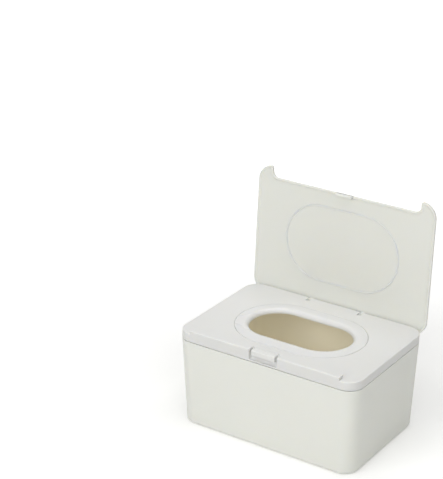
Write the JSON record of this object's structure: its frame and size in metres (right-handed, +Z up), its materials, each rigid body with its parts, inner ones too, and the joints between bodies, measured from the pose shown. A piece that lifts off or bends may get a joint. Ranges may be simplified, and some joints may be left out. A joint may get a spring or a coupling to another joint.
{
  "type": "countertop wipes dispenser",
  "caption": "White moulded box for wet wipes with an oval pull-out opening, a flip lid on a pinned hinge and a push button that frees the lid's catch.",
  "frame": {"origin": "centre of the tub's flat underside, where the box stands", "axes": "+Z up, +X across the front to the right as seen from the front, -Y towards the front with the button; the lid is open at rest"},
  "size_m": [0.19, 0.1412, 0.2174],
  "materials": {
    "tub_plastic": "satin moulded polypropylene",
    "cover_plastic": "satin moulded polypropylene",
    "lid_plastic": "satin moulded polypropylene",
    "ring_plastic": "smooth moulded polypropylene",
    "button_plastic": "smooth moulded polypropylene",
    "latch_plastic": "plain moulded acetal",
    "seal_silicone": "moulded silicone",
    "gasket_silicone": "moulded silicone",
    "spring_steel": "drawn stainless spring wire",
    "pin_steel": "drawn stainless rod"
  },
  "bodies": {
    "tub": {"tub": "tub_plastic"},
    "cover": {"cover": "cover_plastic", "cover_seal": "seal_silicone", "opening_ring": "ring_plastic", "latch_tray": "latch_plastic", "latch_springs": "spring_steel", "hinge_pin_left": "pin_steel", "hinge_pin_right": "pin_steel"},
    "lid": {"lid": "lid_plastic", "lid_gasket": "gasket_silicone"},
    "button": {"push_button": "button_plastic"},
    "latch": {"latch_slide": "latch_plastic"}
  },
  "joints": [
    {"name": "cover_lift", "type": "slide", "parent": "tub", "child": "cover", "axis": [0, 0, 1], "range_m": [0, 0.03]},
    {"name": "lid_hinge", "type": "hinge", "parent": "cover", "child": "lid", "pos_m": [0, 0.061, 0.092], "axis": [1, 0, 0], "range_deg": [0, 93.5]},
    {"name": "button_press", "type": "slide", "parent": "cover", "child": "button", "axis": [0, 0, -1], "range_m": [0, 0.0012], "stiffness_N_per_m": 600, "springref_m": -0.002},
    {"name": "latch_back", "type": "slide", "parent": "cover", "child": "latch", "axis": [0, 1, 0], "range_m": [0, 0.0012], "deforming": ["latch_springs"]}
  ],
  "couplings": [
    {"joint": "latch_back", "follows": "button_press", "ratio": 1}
  ]
}
